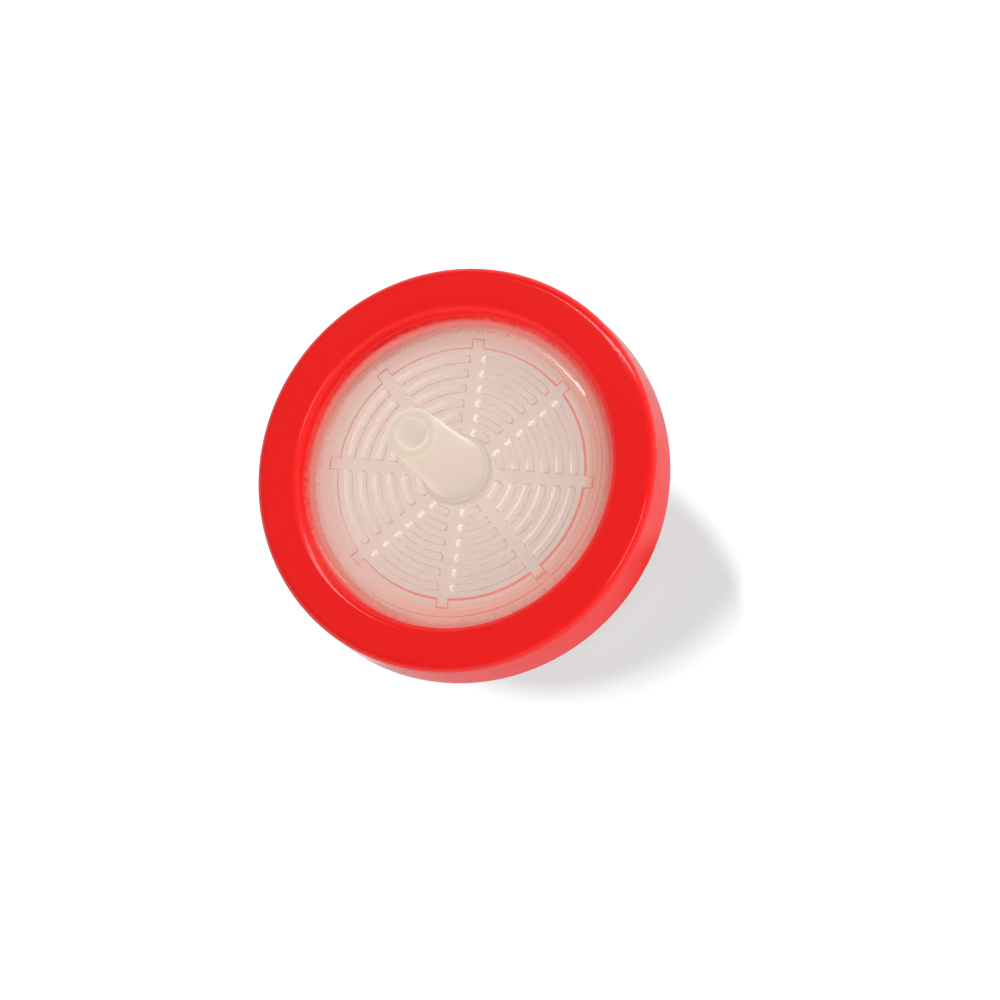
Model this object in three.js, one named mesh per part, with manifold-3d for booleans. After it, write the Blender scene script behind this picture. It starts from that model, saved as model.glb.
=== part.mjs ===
// Syringe filter: a membrane disc held between two moulded polypropylene shells, with a ring
// moulded over their rims. The outlet is a male Luer slip, the inlet a female Luer lock.
// Millimetres, +Z up along the flow axis. The part stands on the inlet hub, with its outlet up
// and the origin in the centre of the hub's end.
import * as THREE from 'three';
import { mergeVertices } from 'three/addons/utils/BufferGeometryUtils.js';
import Module from 'manifold-3d';

const wasm = await Module();
wasm.setup();

// ---------------------------------------------------------------- driving dimensions

// Steps around a full turn
const TURN_STEPS = 48;
const TURN = 2 * Math.PI;

// Heights of the stack, from the inlet hub's end upwards
const HUB_LENGTH = 10.0;             // from the mouth to the back of the inlet plate
const INLET_PLATE_THICKNESS = 1.74;
const MEMBRANE_THICKNESS = 0.2;
const OUTLET_PLATE_THICKNESS = 1.96; // from the membrane to the top of the raised field
const OUTLET_LENGTH = 12.05;         // from the raised field to the Luer tip

// Outlet shell's face, from its raised field outwards
const FIELD_RADIUS = 11.75;
const FIELD_STEP = 0.2;              // the raised field above its shoulder
const SHOULDER_WIDTH = 0.7;
const FLANGE_DROP = 0.5;             // the flange that the ring covers, below the shoulder

// Overmoulded ring
const LEDGE_WIDTH = 0.45;            // flush with the shoulder, between it and the front lip
const LIP_DRAFT = 0.15;              // how far a lip's foot stands inside its opening
const LIP_EDGE_ROUND = 0.4;
const LIP_EDGE_STEPS = 3;
const FRONT_LIP_HEIGHT = 1.1;        // above the outlet shell's raised field
const BACK_LIP_HEIGHT = 0.85;        // below the inlet shell
const RIM_GRIP = 1.05;               // how far the shells' flanges reach out past the lips' feet
const RIM_CLEARANCE = 0.3;           // between the flanges and the ring's wall
const RING_WALL = 2.45;
const RING_DRAFT = 0.17;             // the ring's front is this much smaller in radius
const RING_FRONT_ROUND = 0.75;
const RING_BACK_ROUND = 1.2;
const RING_EDGE_STEPS = 4;

// Membrane seat
const SEAT_WALL = 1.3;               // from the seat out to the shells' edge
const MEMBRANE_CLEARANCE = 0.3;      // around the membrane in its seat
const SEAL_WIDTH = 2.02;             // ring of membrane clamped outside the flow field

// Flow field under the outlet shell: rows of ribs, cut by radial channels
const CHANNEL_COUNT = 8;
const CHANNEL_WIDTH = 1.0;
const FLOW_DEPTH = 0.5;
const NOTCH_LENGTH = 0.6;            // how far a channel runs on past the flow field
const DRAIN_RADIUS = 3.05;           // open well around the outlet bore
const RIB_ROWS = 6;
const RIB_WIDTH = 0.6;
const RIB_CORNER = 0.2;
const CORNER_STEPS = 2;

// Male Luer slip outlet, 6 % taper
const LUER_TAPER = 0.06;             // change of diameter per length
const TIP_RADIUS = 1.96;
const TIP_ROUND = 0.15;
const OUTLET_TAPER_LENGTH = 10.5;
const OUTLET_BORE_TIP_RADIUS = 1.2;
const OUTLET_BORE_FOOT_RADIUS = 0.9;
const OUTLET_BOSS_RADIUS = 2.8;      // boss that carries the cone
const OUTLET_BOSS_HEIGHT = 0.5;

// Female Luer lock inlet, 6 % taper
const SOCKET_MOUTH_RADIUS = 2.15;
const SOCKET_DEPTH = 8.5;
const HUB_MOUTH_RADIUS = 3.3;
const HUB_FOOT_RADIUS = 3.7;
const HUB_FILLET = 1.2;
const HUB_FILLET_STEPS = 4;
const INLET_BORE_RADIUS = 1.1;
const LUG_REACH = 0.6;               // beyond the hub's wall
const LUG_HEIGHT = 1.3;
const LUG_SPAN = TURN / 7;
const LUG_COUNT = 2;

// Flow field over the inlet shell: spokes that keep the membrane off the plate
const SPOKE_COUNT = 8;
const SPOKE_WIDTH = 0.8;
const SPOKE_INNER_RADIUS = 3.6;
const SPOKE_END_GAP = 0.6;           // between the spokes and the field's wall

// A cut starts this far outside the body, and a join this deep in it
const OVERLAP = 0.4;

// ---------------------------------------------------------------- derived places

const inletBackZ = HUB_LENGTH;
const membraneBottomZ = inletBackZ + INLET_PLATE_THICKNESS;
const membraneTopZ = membraneBottomZ + MEMBRANE_THICKNESS;
const fieldZ = membraneTopZ + OUTLET_PLATE_THICKNESS;
const shoulderZ = fieldZ - FIELD_STEP;
const flangeZ = shoulderZ - FLANGE_DROP;
const tipZ = fieldZ + OUTLET_LENGTH;
const ringBottomZ = inletBackZ - BACK_LIP_HEIGHT;
const ringTopZ = fieldZ + FRONT_LIP_HEIGHT;

const shoulderRadius = FIELD_RADIUS + SHOULDER_WIDTH;
const lipFootRadius = shoulderRadius + LEDGE_WIDTH;
const lipOpeningRadius = lipFootRadius + LIP_DRAFT;
const shellRadius = lipFootRadius + RIM_GRIP;
const ringBoreRadius = shellRadius + RIM_CLEARANCE;
const ringRadius = ringBoreRadius + RING_WALL;
const ringFrontRadius = ringRadius - RING_DRAFT;
const seatRadius = shellRadius - SEAT_WALL;
const membraneRadius = seatRadius - MEMBRANE_CLEARANCE;
const flowRadius = membraneRadius - SEAL_WIDTH;
const notchRadius = flowRadius + NOTCH_LENGTH;
const ribPitch = (flowRadius - DRAIN_RADIUS) / RIB_ROWS;

// ---------------------------------------------------------------- materials

function moulded(name, color, roughness, opacity = 1) {
  const material = new THREE.MeshStandardMaterial({ color, roughness, metalness: 0 });
  material.name = name;
  material.opacity = opacity;
  material.transparent = opacity < 1;
  return material;
}

const redPolypropylene = moulded('red_polypropylene', 0xe8201e, 0.25);
const clearPolypropylene = moulded('translucent_polypropylene', 0xe9dccb, 0.2, 0.55);
const membraneWhite = moulded('white_membrane', 0xf3efe8, 0.85);

// ---------------------------------------------------------------- solids

// Points along an arc, in 2-D
function arc(centreX, centreY, radius, from, to, steps) {
  return Array.from({ length: steps + 1 }, (_, i) => {
    const angle = from + ((to - from) * i) / steps;
    return new THREE.Vector2(centreX + radius * Math.cos(angle), centreY + radius * Math.sin(angle));
  });
}

// An arc about the axis, with as many steps as its share of a full turn
function turnArc(radius, from, to) {
  const steps = Math.max(1, Math.round((Math.abs(to - from) / TURN) * TURN_STEPS));
  return arc(0, 0, radius, from, to, steps);
}

// A closed (radius, height) profile turned about +Z
function turned(profile) {
  return new THREE.LatheGeometry([...profile, profile[0].clone()], TURN_STEPS).rotateX(Math.PI / 2);
}

// A flat outline, with any holes in it, raised from one height to another
function raised(outline, holes, fromZ, toZ) {
  const shape = new THREE.Shape(outline);
  shape.holes = holes.map((hole) => new THREE.Path(hole));
  const options = { depth: toZ - fromZ, bevelEnabled: false };
  return new THREE.ExtrudeGeometry(shape, options).translate(0, 0, fromZ);
}

function solid(geometry) {
  const bare = geometry.index ? geometry.toNonIndexed() : geometry.clone();
  for (const name of Object.keys(bare.attributes)) {
    if (name !== 'position') bare.deleteAttribute(name);
  }
  const merged = mergeVertices(bare);
  return new wasm.Manifold(new wasm.Mesh({
    numProp: 3,
    vertProperties: merged.attributes.position.array,
    triVerts: Uint32Array.from(merged.index.array),
  }));
}

function geometryOf(manifold) {
  const mesh = manifold.getMesh();
  const geometry = new THREE.BufferGeometry();
  geometry.setAttribute('position', new THREE.BufferAttribute(mesh.vertProperties, 3));
  geometry.setIndex(new THREE.BufferAttribute(mesh.triVerts, 1));
  return geometry;
}

function part(name, geometry, material) {
  const flat = geometry.index ? geometry.toNonIndexed() : geometry;
  flat.computeVertexNormals();
  const mesh = new THREE.Mesh(flat, material);
  mesh.name = name;
  return mesh;
}

const point = (radius, height) => new THREE.Vector2(radius, height);

// The outline turned about the axis by an angle
function spun(outline, angle) {
  return outline.map((p) => p.clone().rotateAround(new THREE.Vector2(0, 0), angle));
}

// ---------------------------------------------------------------- ring

function overmouldRing() {
  const backRound = arc(ringRadius - RING_BACK_ROUND, ringBottomZ + RING_BACK_ROUND,
    RING_BACK_ROUND, -Math.PI / 2, 0, RING_EDGE_STEPS);
  const frontRound = arc(ringFrontRadius - RING_FRONT_ROUND, ringTopZ - RING_FRONT_ROUND,
    RING_FRONT_ROUND, 0, Math.PI / 2, RING_EDGE_STEPS);
  const lipRound = arc(lipOpeningRadius + LIP_EDGE_ROUND, ringTopZ - LIP_EDGE_ROUND,
    LIP_EDGE_ROUND, Math.PI / 2, Math.PI, LIP_EDGE_STEPS);
  return turned([
    point(lipOpeningRadius, ringBottomZ),
    ...backRound,
    ...frontRound,
    ...lipRound,
    point(lipFootRadius, shoulderZ),
    point(shoulderRadius, shoulderZ),
    point(shoulderRadius, flangeZ),
    point(ringBoreRadius, flangeZ),
    point(ringBoreRadius, inletBackZ),
    point(lipFootRadius, inletBackZ),
  ]);
}

// ---------------------------------------------------------------- flow field of the outlet

// One rib of the sector between the channels at angle 0 and at one channel step
function ribOutline(row) {
  const innerRadius = DRAIN_RADIUS + row * ribPitch;
  const outerRadius = innerRadius + RIB_WIDTH;
  const sector = TURN / CHANNEL_COUNT;
  const inset = CHANNEL_WIDTH / 2 + RIB_CORNER;
  const mirror = (p) => point(p.x * Math.cos(sector) + p.y * Math.sin(sector),
    p.x * Math.sin(sector) - p.y * Math.cos(sector));

  const innerCorner = innerRadius + RIB_CORNER;
  const outerCorner = outerRadius - RIB_CORNER;
  const innerAngle = Math.asin(inset / innerCorner);
  const outerAngle = Math.asin(inset / outerCorner);
  const corner = (radius, angle, from, to) => arc(radius * Math.cos(angle),
    radius * Math.sin(angle), RIB_CORNER, from, to, CORNER_STEPS);
  const side = [
    ...corner(innerCorner, innerAngle, innerAngle - Math.PI, -Math.PI / 2),
    ...corner(outerCorner, outerAngle, -Math.PI / 2, outerAngle),
  ];
  const outside = turnArc(outerRadius, outerAngle, sector - outerAngle).slice(1, -1);
  const inside = turnArc(innerRadius, sector - innerAngle, innerAngle).slice(1, -1);
  return [...side, ...outside, ...side.map(mirror).reverse(), ...inside];
}

// The wall around the flow field, with a notch at the end of each channel
function flowOutline() {
  const sector = TURN / CHANNEL_COUNT;
  const wallAngle = Math.asin(CHANNEL_WIDTH / 2 / flowRadius);
  const notchAngle = Math.asin(CHANNEL_WIDTH / 2 / notchRadius);
  const piece = [
    ...turnArc(notchRadius, -notchAngle, notchAngle),
    ...turnArc(flowRadius, wallAngle, sector - wallAngle),
  ];
  return Array.from({ length: CHANNEL_COUNT }, (_, i) => spun(piece, i * sector)).flat();
}

function outletFlowSpace() {
  const sector = TURN / CHANNEL_COUNT;
  const ribs = [];
  for (let row = 0; row < RIB_ROWS; row += 1) {
    for (let i = 0; i < CHANNEL_COUNT; i += 1) ribs.push(spun(ribOutline(row), i * sector));
  }
  return raised(flowOutline(), ribs, membraneTopZ - OVERLAP, membraneTopZ + FLOW_DEPTH);
}

// ---------------------------------------------------------------- shells and membrane

function outletShell() {
  const coneFootZ = tipZ - OUTLET_TAPER_LENGTH;
  const coneFootRadius = TIP_RADIUS + (LUER_TAPER / 2) * OUTLET_TAPER_LENGTH;
  const body = turned([
    point(OUTLET_BORE_FOOT_RADIUS, membraneTopZ),
    point(seatRadius, membraneTopZ),
    point(seatRadius, membraneBottomZ),
    point(shellRadius, membraneBottomZ),
    point(shellRadius, flangeZ),
    point(shoulderRadius, flangeZ),
    point(shoulderRadius, shoulderZ),
    point(FIELD_RADIUS, shoulderZ),
    point(FIELD_RADIUS, fieldZ),
    point(OUTLET_BOSS_RADIUS, fieldZ),
    point(OUTLET_BOSS_RADIUS, fieldZ + OUTLET_BOSS_HEIGHT),
    point(coneFootRadius, coneFootZ),
    ...arc(TIP_RADIUS - TIP_ROUND, tipZ - TIP_ROUND, TIP_ROUND, 0, Math.PI / 2, CORNER_STEPS),
    point(OUTLET_BORE_TIP_RADIUS, tipZ),
  ]);
  return geometryOf(solid(body).subtract(solid(outletFlowSpace())));
}

function membraneDisc() {
  const disc = turned([
    point(0, membraneBottomZ),
    point(membraneRadius, membraneBottomZ),
    point(membraneRadius, membraneTopZ),
    point(0, membraneTopZ),
  ]);
  return geometryOf(solid(disc));
}

// The space over the inlet plate, with the spokes left standing in it
function inletFlowSpace() {
  const spokeEnd = flowRadius - SPOKE_END_GAP;
  const round = SPOKE_WIDTH / 2;
  const spoke = [
    ...arc(spokeEnd - round, 0, round, -Math.PI / 2, Math.PI / 2, 2 * CORNER_STEPS),
    ...arc(SPOKE_INNER_RADIUS + round, 0, round, Math.PI / 2, 1.5 * Math.PI, 2 * CORNER_STEPS),
  ];
  const spokes = Array.from({ length: SPOKE_COUNT }, (_, i) => spun(spoke, (i * TURN) / SPOKE_COUNT));
  const wall = turnArc(flowRadius, 0, TURN).slice(0, -1);
  return raised(wall, spokes, membraneBottomZ - FLOW_DEPTH, membraneBottomZ + OVERLAP);
}

// One ear of the Luer lock, at the hub's mouth
function lugOutline() {
  const outside = turnArc(HUB_MOUTH_RADIUS + LUG_REACH, -LUG_SPAN / 2, LUG_SPAN / 2);
  const inside = turnArc(HUB_MOUTH_RADIUS - OVERLAP, LUG_SPAN / 2, -LUG_SPAN / 2);
  return [...outside, ...inside];
}

function inletShell() {
  const socketEndRadius = SOCKET_MOUTH_RADIUS - (LUER_TAPER / 2) * SOCKET_DEPTH;
  const body = turned([
    point(SOCKET_MOUTH_RADIUS, 0),
    point(HUB_MOUTH_RADIUS, 0),
    ...arc(HUB_FOOT_RADIUS + HUB_FILLET, inletBackZ - HUB_FILLET, HUB_FILLET,
      Math.PI, Math.PI / 2, HUB_FILLET_STEPS),
    point(shellRadius, inletBackZ),
    point(shellRadius, membraneBottomZ),
    point(INLET_BORE_RADIUS, membraneBottomZ),
    point(INLET_BORE_RADIUS, SOCKET_DEPTH),
    point(socketEndRadius, SOCKET_DEPTH),
  ]);
  let shell = solid(body).subtract(solid(inletFlowSpace()));
  for (let i = 0; i < LUG_COUNT; i += 1) {
    shell = shell.add(solid(raised(spun(lugOutline(), (i * TURN) / LUG_COUNT), [], 0, LUG_HEIGHT)));
  }
  return geometryOf(shell);
}

// ---------------------------------------------------------------- assembly

const syringeFilter = new THREE.Group();
syringeFilter.name = 'syringe_filter';
syringeFilter.add(
  part('overmould_ring', overmouldRing(), redPolypropylene),
  part('outlet_shell', outletShell(), clearPolypropylene),
  part('membrane_disc', membraneDisc(), membraneWhite),
  part('inlet_shell', inletShell(), clearPolypropylene),
);

export default syringeFilter;
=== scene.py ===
# %% [markdown]
# # A disc syringe filter
#
# A syringe filter is a flat disc that cleans a liquid on its way out of a syringe. Two clear
# shells hold a white membrane between them, and a red ring is moulded over their rims. The
# liquid enters at the hub underneath and leaves through the slim port on top.
#
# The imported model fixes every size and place. Here each piece is made again as a fine mesh, with
# the roundings, fillets and draft that a moulding has, and with its own finish.

# %% Load the frame
import math

import bpy
from mathutils import Matrix, Vector


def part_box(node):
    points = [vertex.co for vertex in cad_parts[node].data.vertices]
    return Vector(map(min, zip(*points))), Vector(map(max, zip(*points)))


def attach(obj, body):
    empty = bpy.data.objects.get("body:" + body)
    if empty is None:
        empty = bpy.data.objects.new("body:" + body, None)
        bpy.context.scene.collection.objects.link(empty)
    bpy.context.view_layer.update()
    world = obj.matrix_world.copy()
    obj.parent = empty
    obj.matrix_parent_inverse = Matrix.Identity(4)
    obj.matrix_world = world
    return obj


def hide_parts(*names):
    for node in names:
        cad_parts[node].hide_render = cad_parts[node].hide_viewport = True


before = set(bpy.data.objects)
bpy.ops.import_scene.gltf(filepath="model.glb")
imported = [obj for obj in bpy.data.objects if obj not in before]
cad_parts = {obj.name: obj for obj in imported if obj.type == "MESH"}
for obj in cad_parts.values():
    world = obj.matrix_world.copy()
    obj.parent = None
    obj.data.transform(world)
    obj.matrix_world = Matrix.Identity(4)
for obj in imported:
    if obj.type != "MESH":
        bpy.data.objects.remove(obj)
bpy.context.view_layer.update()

# %% [markdown]
# ## Sizes
#
# All sizes below are in millimetres, which suit a part as small as this. The main ones are read
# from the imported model, so the looks follow it. A turned node's radius is half its box.

# %% Sizes from the frame
MM = 0.001
TURN = 2 * math.pi


def node_size(name):
    """A node's radius, lowest height and highest height, in mm."""
    low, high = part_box(name)
    return (high.y - low.y) / 2 / MM, low.z / MM, high.z / MM


ring_radius, ring_bottom, ring_top = node_size("overmould_ring")
shell_radius, rim_joint, tip_height = node_size("outlet_shell")
membrane_radius, membrane_bottom, membrane_top = node_size("membrane_disc")
hub_end = node_size("inlet_shell")[1]
print("ring radius", round(ring_radius, 2), "mm, port tip at", round(tip_height, 2), "mm")

# %% [markdown]
# Some sizes can't be read from a box, and both a finish and a mesh need them. The window is
# stepped: its raised middle stands a little over a shoulder, which the ring's lip covers. Under
# it lies the flow field: eight channels that lead the liquid to the middle, and six rows of ribs
# between them that keep the membrane flat.

# %% Sizes of the window and the flow field
SHOULDER_HEIGHT = 13.7
FIELD_HEIGHT = 13.9
CHANNELS = 8
CHANNEL_WIDTH = 1.0
FLOW_DEPTH = 0.5
FLOW_RADIUS = 10.33
WELL_RADIUS = 3.05           # the open middle, under the port
RIB_ROWS = 6
RIB_WIDTH = 0.6
RIB_CORNER = 0.2
RIB_PITCH = (FLOW_RADIUS - WELL_RADIUS) / RIB_ROWS
SECTOR = TURN / CHANNELS
flow_ceiling = membrane_top + FLOW_DEPTH
print(CHANNELS * RIB_ROWS, "ribs at a pitch of", round(RIB_PITCH, 3), "mm")

# %% [markdown]
# ## Meshes from sections
#
# Nearly all of this filter is round about one axis, so a section that is turned about it
# describes most of it. A section is a list of corners, each with its own rounding, and `rounded`
# puts an arc in each corner. Blender's Bevel modifier could round the corners too, but it gives
# all of them one width, and here the ring's edges are far rounder than the shells'.

# %% Rounded sections
ARC_STEPS = 6


def rounded(corners, steps=ARC_STEPS):
    """The points of a closed section. Each corner is (radius, height, rounding)."""
    points = []
    for i, (radius, height, rounding) in enumerate(corners):
        corner = Vector((radius, height))
        if rounding == 0:
            points.append(corner)
            continue
        back = (Vector(corners[i - 1][:2]) - corner).normalized()
        ahead = (Vector(corners[(i + 1) % len(corners)][:2]) - corner).normalized()
        half = back.angle(ahead) / 2
        centre = corner + (back + ahead).normalized() * rounding / math.sin(half)
        start = corner + back * rounding / math.tan(half) - centre
        end = corner + ahead * rounding / math.tan(half) - centre
        sweep = math.atan2(start.x * end.y - start.y * end.x, start.dot(end))
        for k in range(steps + 1):
            points.append(centre + Matrix.Rotation(sweep * k / steps, 2) @ start)
    return points


print("a round corner has", len(rounded([(0, 0, 1), (4, 0, 0), (0, 4, 0)])) - 2, "points")

# %% [markdown]
# Points and faces become a piece in one place, so that every piece gets the same care: metres
# instead of millimetres, smooth shading, and a crisp edge wherever two faces meet at more than
# a slight angle. Without those edges, smooth shading would smear a corner over a flat face.

# %% From points to a piece
SHARP = math.radians(32)


def tidy_mesh(mesh):
    """Smooth shading with crisp edges."""
    mesh.polygons.foreach_set("use_smooth", [True] * len(mesh.polygons))
    mesh.set_sharp_from_angle(angle=SHARP)


def placed(name, data):
    """A mesh, a lamp or a lens as an object in the scene."""
    thing = bpy.data.objects.new(name, data)
    bpy.context.scene.collection.objects.link(thing)
    return thing


def new_piece(name, points, faces):
    mesh = bpy.data.meshes.new(name)
    mesh.from_pydata([Vector(p) * MM for p in points], [], faces)
    tidy_mesh(mesh)
    return placed(name, mesh)


# %% [markdown]
# The Screw modifier can turn a section too. Writing the points out takes a few lines more, but
# the mesh is closed and its faces look outward from the start, as the cuts further down need.

# %% Turned pieces
TURN_STEPS = 288


def turned(name, section, steps=TURN_STEPS):
    """A closed section, listed anticlockwise with the axis on its left, turned about the Z axis."""
    count = len(section)
    points = []
    faces = []
    for i in range(steps):
        angle = TURN * i / steps
        points += [(p.x * math.cos(angle), p.x * math.sin(angle), p.y) for p in section]
        here, there = i * count, (i + 1) % steps * count
        for j in range(count):
            k = (j + 1) % count
            faces.append((here + j, there + j, there + k, here + k))
    return new_piece(name, points, faces)


print("a step of the ring's edge is", round(TURN * ring_radius / TURN_STEPS, 2), "mm long")

# %% [markdown]
# ## Sockets as Python values
#
# A finish is easier to read as a sum than as a tangle of nodes. This small class wraps a node's
# output, so that `1 - mask` or `wave * 0.5` adds the Math node it stands for.

# %% Sockets as values
class Socket:
    """An output socket. Arithmetic on numbers adds Math nodes, and on vectors Vector Math."""

    def __init__(self, tree, output):
        self.tree = tree
        self.output = output

    def maths(self, operation, first, second):
        if self.output.type == "VALUE":
            kind = "ShaderNodeMath"
        else:
            kind = "ShaderNodeVectorMath"
            first, second = (
                (v, v, v) if isinstance(v, (int, float)) else v for v in (first, second)
            )
        return self.tree.node(kind, {"operation": operation}, {0: first, 1: second})

    def __add__(self, other):
        return self.maths("ADD", self, other)

    def __radd__(self, other):
        return self.maths("ADD", other, self)

    def __sub__(self, other):
        return self.maths("SUBTRACT", self, other)

    def __rsub__(self, other):
        return self.maths("SUBTRACT", other, self)

    def __mul__(self, other):
        return self.maths("MULTIPLY", self, other)

    def __rmul__(self, other):
        return self.maths("MULTIPLY", other, self)


# %% [markdown]
# Every node comes from one method, `node`. It sets the node's own settings first, because some
# of them change which sockets there are, and then fills or links its sockets.

# %% A tree of nodes
class Tree:
    """A node tree, of a material or of the world."""

    def __init__(self, owner):
        owner.use_nodes = True
        self.owner = owner
        self.nodes = owner.node_tree.nodes
        self.links = owner.node_tree.links
        self.nodes.clear()

    def node(self, kind, settings, sockets, output=0):
        made = self.nodes.new(kind)
        for name, value in settings.items():
            setattr(made, name, value)
        for name, value in sockets.items():
            if isinstance(value, Socket):
                self.links.new(value.output, made.inputs[name])
            else:
                made.inputs[name].default_value = value
        return Socket(self, made.outputs[output])

    def shows(self, shader):
        is_world = isinstance(self.owner, bpy.types.World)
        kind = "ShaderNodeOutputWorld" if is_world else "ShaderNodeOutputMaterial"
        self.links.new(shader.output, self.nodes.new(kind).inputs["Surface"])
        return self.owner


# %% [markdown]
# Most of a finish is masks: numbers between 0 and 1 that say where something shows. `step` is
# the one that makes them. Its smooth rise looks softer than a straight ramp of the same width.

# %% Masks and shaders
POLYPROPYLENE_IOR = 1.49


class Finish(Tree):
    """A node tree that is written as expressions."""

    def calc(self, operation, first, second=0.0):
        return self.node("ShaderNodeMath", {"operation": operation}, {0: first, 1: second})

    def step(self, value, start, end):
        """0 below start, 1 beyond end and smooth between them."""
        sockets = {"Value": value, "From Min": start, "From Max": end}
        settings = {"interpolation_type": "SMOOTHSTEP"}
        return self.node("ShaderNodeMapRange", settings, sockets)

    def band(self, value, rise, fall):
        """1 between a rise and a fall, each given as (start, end), and 0 outside them."""
        return self.step(value, *rise) * (1 - self.step(value, *fall))

    def noise(self, vector, scale, detail=2.0):
        sockets = {"Vector": vector, "Scale": scale, "Detail": detail}
        return self.node("ShaderNodeTexNoise", {}, sockets)

    def mix(self, factor, first, second):
        """A blend of two colours."""
        first, second = ((*c, 1) if isinstance(c, tuple) else c for c in (first, second))
        sockets = {0: factor, 6: first, 7: second}
        return self.node("ShaderNodeMix", {"data_type": "RGBA"}, sockets, 2)

    def blend(self, factor, first, second):
        """A blend of two shaders."""
        return self.node("ShaderNodeMixShader", {}, {0: factor, 1: first, 2: second})

    def bump(self, height, distance):
        """A bump whose height, from 0 to 1, stands for a distance in mm."""
        return self.node("ShaderNodeBump", {}, {"Height": height, "Distance": distance * MM})

    def plastic(self, colour, roughness, **sockets):
        if isinstance(colour, tuple):
            colour = (*colour, 1)
        named = {name.replace("_", " "): value for name, value in sockets.items()}
        values = {"Base Color": colour, "Roughness": roughness, "IOR": POLYPROPYLENE_IOR}
        return self.node("ShaderNodeBsdfPrincipled", {}, {**values, **named})

    def light_path(self, output):
        return self.node("ShaderNodeLightPath", {}, {}, output)


# %% [markdown]
# The part stands on the world's origin with its axis upright, so a point's object coordinates
# say everything about it: how far from the axis it lies, how high, and on which side. Painting
# by place needs no UV map and no image, and stays sharp at any distance.

# %% Where a point lies, in mm
class PartFinish(Finish):
    """A finish that knows where on the part it is."""

    def __init__(self, name):
        super().__init__(bpy.data.materials.new(name))
        self.place = self.node("ShaderNodeTexCoord", {}, {}, "Object") * (1 / MM)
        self.height = self.node("ShaderNodeSeparateXYZ", {}, {0: self.place}, "Z")
        flat = self.place * (1, 1, 0)
        length = {"operation": "LENGTH"}
        self.radius = self.node("ShaderNodeVectorMath", length, {0: flat}, "Value")

    def along(self, azimuth):
        """How far a point lies from the axis in one level direction."""
        side = (math.cos(azimuth), math.sin(azimuth), 0)
        dot = {"operation": "DOT_PRODUCT"}
        return self.node("ShaderNodeVectorMath", dot, {0: self.place, 1: side}, "Value")


# %% [markdown]
# ## Where the red ends
#
# The ring is moulded hot over the finished shells. Some red runs into their rims before it sets,
# so the window has no crisp edge but a ragged one, a little off centre. The ring and the shells
# both meet this line, so one function finds it for both finishes. A painted image could show it
# too, but would need many pixels for its specks. Two noises do the same: a slow one for the
# line's course and a fine one for the specks.

# %% The ragged edge of the red
BLEED_RADIUS = 12.75
BLEED_SHIFT = 0.42           # how far the red's edge is off centre
BLEED_AZIMUTH = math.radians(-54)
COURSE = 0.4                 # how far the slow noise moves the edge, from end to end
SPECKS = 0.5
RED = (0.765, 0.008, 0.007)
BLUSH = (0.68, 0.22, 0.18)


def past_red_edge(finish):
    """How far a point lies beyond the edge where the red begins."""
    course = (finish.noise(finish.place, scale=2.0, detail=4.0) - 0.5) * COURSE
    specks = (finish.noise(finish.place, scale=5.0, detail=3.0) - 0.5) * SPECKS
    shifted = finish.radius - finish.along(BLEED_AZIMUTH) * (BLEED_SHIFT / BLEED_RADIUS)
    return shifted + course + specks - BLEED_RADIUS


def blush_to_red(finish, past):
    return finish.mix(finish.step(past, -0.45, 0.45), BLUSH, RED)


print("the red's edge lies at", round(BLEED_RADIUS - BLEED_SHIFT, 2), "to",
      round(BLEED_RADIUS + BLEED_SHIFT, 2), "mm, give or take", (COURSE + SPECKS) / 2)

# %% [markdown]
# ## Red polypropylene
#
# The ring is a soft, glossy plastic in one strong red, so a Principled shader with a low
# roughness does nearly all of it. Its specular level is low, because a soft plastic reflects
# less than a hard one. Two things are added by place. The narrow ledge beside the window takes
# the colour of the stained shell under it, and the lip glows a little on one side, where light
# comes through the red. Real subsurface scattering would give that glow too, but much more
# slowly.

# %% Colour of the ledge
SHELL_EDGE = (0.70, 0.385, 0.32)
LEDGE_RISE = (SHOULDER_HEIGHT - 0.1, SHOULDER_HEIGHT - 0.05)
LEDGE_FALL = (SHOULDER_HEIGHT + 0.2, SHOULDER_HEIGHT + 0.6)


def ledge_colour(finish):
    """The ring's red, apart from the ledge, which takes the stained shell's colour."""
    past = past_red_edge(finish)
    stained = finish.mix(finish.step(past, -0.75, -0.3), SHELL_EDGE, blush_to_red(finish, past))
    return finish.mix(finish.band(finish.height, LEDGE_RISE, LEDGE_FALL), RED, stained)


# %% Red polypropylene
LIP_GLOW = (0.5, 0.02, 0.02)
LIP_GLOW_AZIMUTH = math.radians(30)
LIP_RISE = (SHOULDER_HEIGHT - 0.1, SHOULDER_HEIGHT + 0.1)
LIP_FALL = (13.0, 13.7)      # the lip ends between these radii
GLOSS = 0.12                 # roughness of the ring, and what the lip adds to it
LIP_WEAR = 0.15


def red_polypropylene():
    finish = PartFinish("red_polypropylene")
    grain = finish.bump(finish.noise(finish.place, scale=3.0, detail=4.0), distance=0.004)
    lip = (1 - finish.step(finish.radius, *LIP_FALL)) * finish.step(finish.height, *LIP_RISE)
    lit = finish.step(finish.along(LIP_GLOW_AZIMUTH), -4, 8)
    return finish.shows(finish.plastic(
        ledge_colour(finish), GLOSS + LIP_WEAR * lip, Normal=grain, Specular_IOR_Level=0.35,
        Emission_Color=finish.mix(lip * lit, (0, 0, 0), LIP_GLOW), Emission_Strength=0.35))


red = red_polypropylene()
print(red.name, "has", len(red.node_tree.nodes), "nodes")

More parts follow.
